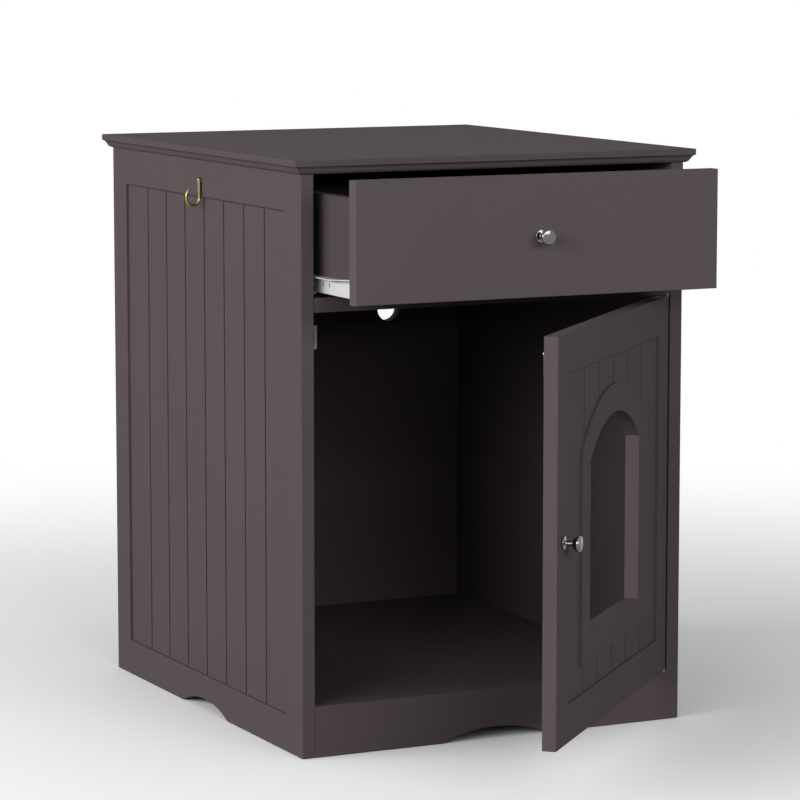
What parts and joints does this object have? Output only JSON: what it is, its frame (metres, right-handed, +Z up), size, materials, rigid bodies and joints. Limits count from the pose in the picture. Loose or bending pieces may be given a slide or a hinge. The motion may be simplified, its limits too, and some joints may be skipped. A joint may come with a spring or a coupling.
{
  "type": "cat litter box cabinet",
  "caption": "Dark painted board cabinet on arched skirts, with a roller-slide drawer over a hinged door that has an arched cat entrance, and a wire hook on its side.",
  "frame": {"origin": "middle of the back's bottom edge, on the floor", "axes": "+X to the right seen from the front, +Y to the rear, +Z up; the fronts of the side panels lie at y = -0.530. At rest the drawer is 100 mm out and the door is open by 45 degrees."},
  "size_m": [0.4894, 0.8443, 0.635],
  "materials": {
    "taupe_paint": "satin dark taupe paint on board",
    "front_paint": "satin dark taupe paint on board",
    "door_paint": "satin dark taupe paint on board",
    "drawer_paint": "matt dark taupe foil on board",
    "white_enamel": "white powder coat",
    "bright_nickel": "bright nickel plate",
    "brass": "bright lacquered brass",
    "zinc": "zinc plate",
    "dark_steel": "steel, bronzed dark",
    "nylon": "plain nylon",
    "beech": "bare fluted beech",
    "brown_plastic": "fine moulded texture",
    "magnet": "sintered ferrite"
  },
  "bodies": {
    "carcass": {"left_side_panel": "taupe_paint", "right_side_panel": "taupe_paint", "top_panel": "taupe_paint", "back_panel": "taupe_paint", "floor_panel": "taupe_paint", "toe_board": "taupe_paint", "drawer_rail": "taupe_paint", "cam_locks": "zinc", "cam_bolts": "zinc", "dowels": "beech", "cabinet_slide_left": "white_enamel", "cabinet_slide_right": "white_enamel", "cabinet_slide_screws": "zinc", "front_roller_pins": "zinc", "hinge_top_cabinet_leaf": "dark_steel", "hinge_bottom_cabinet_leaf": "dark_steel", "hinge_top_pin": "dark_steel", "hinge_bottom_pin": "dark_steel", "hinge_washers": "brown_plastic", "hinge_cabinet_screws": "zinc", "catch_housing": "brown_plastic", "catch_magnet": "magnet", "catch_poles": "dark_steel", "catch_screws": "zinc", "hook": "brass", "hook_screw": "zinc"},
    "drawer": {"drawer_front": "front_paint", "drawer_side_left": "drawer_paint", "drawer_side_right": "drawer_paint", "drawer_back": "drawer_paint", "drawer_bottom": "drawer_paint", "drawer_dowels": "beech", "drawer_box_screws": "zinc", "drawer_knob": "bright_nickel", "drawer_knob_screw": "zinc", "drawer_slide_left": "white_enamel", "drawer_slide_right": "white_enamel", "drawer_slide_screws": "zinc", "rear_roller_pins": "zinc"},
    "door": {"door_panel": "door_paint", "door_knob": "bright_nickel", "door_knob_screw": "zinc", "hinge_top_door_leaf": "dark_steel", "hinge_bottom_door_leaf": "dark_steel", "hinge_door_screws": "zinc", "strike_plate": "dark_steel", "strike_screw": "zinc"},
    "front_roller_left_body": {"front_roller_left": "nylon"},
    "front_roller_right_body": {"front_roller_right": "nylon"},
    "rear_roller_left_body": {"rear_roller_left": "nylon"},
    "rear_roller_right_body": {"rear_roller_right": "nylon"}
  },
  "joints": [
    {"name": "drawer_slide", "type": "slide", "parent": "carcass", "child": "drawer", "axis": [0, -1, 0], "range_m": [-0.1, 0.2]},
    {"name": "door_hinge", "type": "hinge", "parent": "carcass", "child": "door", "pos_m": [0.2115, -0.528, 0.265], "axis": [0, 0, 1], "range_deg": [-45, 65]},
    {"name": "front_roller_left_spin", "type": "hinge", "parent": "carcass", "child": "front_roller_left_body", "pos_m": [-0.21, -0.504, 0.5037], "axis": [1, 0, 0], "range_deg": [-800, 1600]},
    {"name": "front_roller_right_spin", "type": "hinge", "parent": "carcass", "child": "front_roller_right_body", "pos_m": [0.21, -0.504, 0.5037], "axis": [1, 0, 0], "range_deg": [-800, 1600]},
    {"name": "rear_roller_left_spin", "type": "hinge", "parent": "drawer", "child": "rear_roller_left_body", "pos_m": [-0.2075, -0.23, 0.5022], "axis": [1, 0, 0], "range_deg": [-800, 1600]},
    {"name": "rear_roller_right_spin", "type": "hinge", "parent": "drawer", "child": "rear_roller_right_body", "pos_m": [0.2075, -0.23, 0.5022], "axis": [1, 0, 0], "range_deg": [-800, 1600]}
  ],
  "couplings": [
    {"joint": "front_roller_left_spin", "follows": "drawer_slide", "rad_per_m": 133.33},
    {"joint": "front_roller_right_spin", "follows": "drawer_slide", "rad_per_m": 133.33},
    {"joint": "rear_roller_left_spin", "follows": "drawer_slide", "rad_per_m": 133.33},
    {"joint": "rear_roller_right_spin", "follows": "drawer_slide", "rad_per_m": 133.33}
  ]
}
